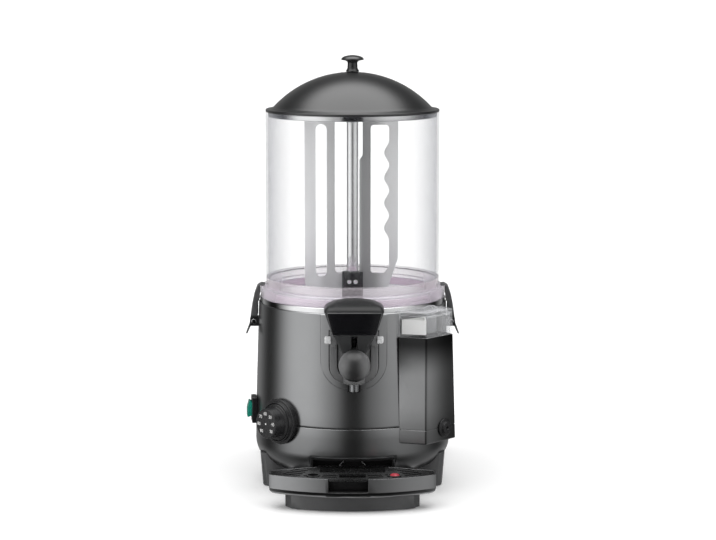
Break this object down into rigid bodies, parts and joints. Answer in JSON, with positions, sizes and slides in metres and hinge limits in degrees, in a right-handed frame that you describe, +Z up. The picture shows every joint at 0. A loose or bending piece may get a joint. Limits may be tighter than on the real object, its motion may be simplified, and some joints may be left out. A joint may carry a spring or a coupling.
{
  "type": "hot chocolate dispenser",
  "caption": "Countertop hot drink dispenser: clear stirred bowl with domed lid on a heated round body, lever tap, dial, side water box and pull-out drip tray.",
  "frame": {"origin": "middle of the footprint box, on the table", "axes": "+Z up, the tap and tray face -Y, the water box is on +X"},
  "size_m": [0.2908, 0.41, 0.58],
  "materials": {
    "satin_black": "satin black paint on sheet steel",
    "black_plastic": "smooth satin black",
    "dark_plastic": "deep black",
    "gloss_black": "glossy black, bare",
    "polished_steel": "polished stainless steel",
    "steel": "plain stainless steel",
    "clear_plastic": "clear polycarbonate",
    "grey_plastic": "light grey, satin",
    "silicone": "pink translucent silicone",
    "rubber": "matt black rubber",
    "white_plastic": "white, satin",
    "motor_grey": "grey casing",
    "green_lamp": "translucent green",
    "red_plastic": "red"
  },
  "bodies": {
    "machine": {"foot_front_left": "rubber", "foot_front_right": "rubber", "foot_rear_left": "rubber", "foot_rear_right": "rubber", "base_plate": "steel", "plinth": "black_plastic", "stand": "black_plastic", "cable_gland": "dark_plastic", "rear_cover": "satin_black", "lower_shell": "satin_black", "tray_dock": "dark_plastic", "body_shell": "satin_black", "water_tank": "steel", "tank_stand": "steel", "heating_element": "steel", "product_pan": "polished_steel", "bowl_gasket": "silicone", "bowl": "clear_plastic", "gear_motor": "motor_grey", "shaft_seal": "white_plastic", "left_latch_bracket": "dark_plastic", "left_latch_pin": "polished_steel", "right_latch_bracket": "dark_plastic", "right_latch_pin": "polished_steel", "tap_panel": "satin_black", "tap_housing": "black_plastic", "tap_nozzle": "polished_steel", "tap_spring": "steel", "tap_pin": "white_plastic", "tap_cover": "black_plastic", "tap_plate": "gloss_black", "dial_bezel": "dark_plastic", "thermostat": "steel", "switch_housing": "dark_plastic", "water_box": "black_plastic", "water_box_window": "clear_plastic", "filler_insert": "white_plastic"},
    "lid": {"lid_dome": "black_plastic", "lid_skirt": "polished_steel", "lid_knob": "black_plastic"},
    "stirrer": {"drive_shaft": "steel", "stirrer_hub": "dark_plastic", "stirrer_bolt_left": "polished_steel", "stirrer_bolt_right": "polished_steel", "stirrer_column": "polished_steel", "stirrer_cap": "dark_plastic", "stirrer_left_blade": "grey_plastic", "stirrer_right_blade": "grey_plastic"},
    "left_latch_lever": {"left_latch": "dark_plastic"},
    "right_latch_lever": {"right_latch": "dark_plastic"},
    "tap_handle": {"tap_lever": "black_plastic", "tap_ball": "dark_plastic"},
    "tap_valve": {"tap_piston": "dark_plastic"},
    "dial": {"dial_knob": "dark_plastic"},
    "rocker": {"switch_rocker": "green_lamp"},
    "tray": {"drip_tray": "black_plastic"},
    "grid": {"drip_grid": "black_plastic"},
    "float": {"float_indicator": "red_plastic"},
    "box_lid": {"water_box_lid": "clear_plastic"},
    "drain": {"drain_plug": "dark_plastic"}
  },
  "joints": [
    {"name": "lid_lift", "type": "slide", "parent": "machine", "child": "lid", "axis": [0, 0, 1], "range_m": [0, 0.12]},
    {"name": "stirrer_spin", "type": "hinge", "parent": "machine", "child": "stirrer", "pos_m": [0, 0.008, 0.2], "axis": [0, 0, 1], "continuous": true},
    {"name": "left_latch_open", "type": "hinge", "parent": "machine", "child": "left_latch_lever", "pos_m": [-0.1345, 0.008, 0.219], "axis": [0, -1, 0], "range_deg": [0, 25], "stiffness_Nm_per_rad": 0.3, "springref_deg": -11.46},
    {"name": "right_latch_open", "type": "hinge", "parent": "machine", "child": "right_latch_lever", "pos_m": [0.1345, 0.008, 0.219], "axis": [0, 1, 0], "range_deg": [0, 25], "stiffness_Nm_per_rad": 0.3, "springref_deg": -11.46},
    {"name": "tap_pull", "type": "hinge", "parent": "machine", "child": "tap_handle", "pos_m": [0.00193, -0.12999, 0.215], "axis": [-0.9999, -0.014, 0], "range_deg": [0, 25], "stiffness_Nm_per_rad": 0.6, "springref_deg": -17.19},
    {"name": "tap_valve_lift", "type": "slide", "parent": "machine", "child": "tap_valve", "axis": [0, 0, 1], "range_m": [0, 0.0038], "deforming": ["tap_spring"]},
    {"name": "dial_turn", "type": "hinge", "parent": "machine", "child": "dial", "pos_m": [-0.10071, -0.08925, 0.0973], "axis": [0.7193, 0.6947, 0], "range_deg": [0, 270]},
    {"name": "switch_rock", "type": "hinge", "parent": "machine", "child": "rocker", "pos_m": [-0.13287, -0.00596, 0.0986], "axis": [0.1045, -0.9945, 0], "range_deg": [0, 14]},
    {"name": "tray_pull", "type": "slide", "parent": "machine", "child": "tray", "axis": [0, -1, 0], "range_m": [0, 0.12]},
    {"name": "grid_lift", "type": "slide", "parent": "tray", "child": "grid", "axis": [0, 0, 1], "range_m": [0, 0.007]},
    {"name": "float_rise", "type": "slide", "parent": "tray", "child": "float", "axis": [0, 0, 1], "range_m": [0, 0.006]},
    {"name": "box_lid_lift", "type": "slide", "parent": "machine", "child": "box_lid", "axis": [0, 0, 1], "range_m": [0, 0.06]},
    {"name": "drain_turn", "type": "hinge", "parent": "machine", "child": "drain", "pos_m": [0.12192, -0.092, 0.0906], "axis": [0.747, -0.6648, 0], "range_deg": [0, 90]}
  ],
  "couplings": [
    {"joint": "tap_valve_lift", "follows": "tap_pull", "m_per_rad": 0.008709}
  ]
}
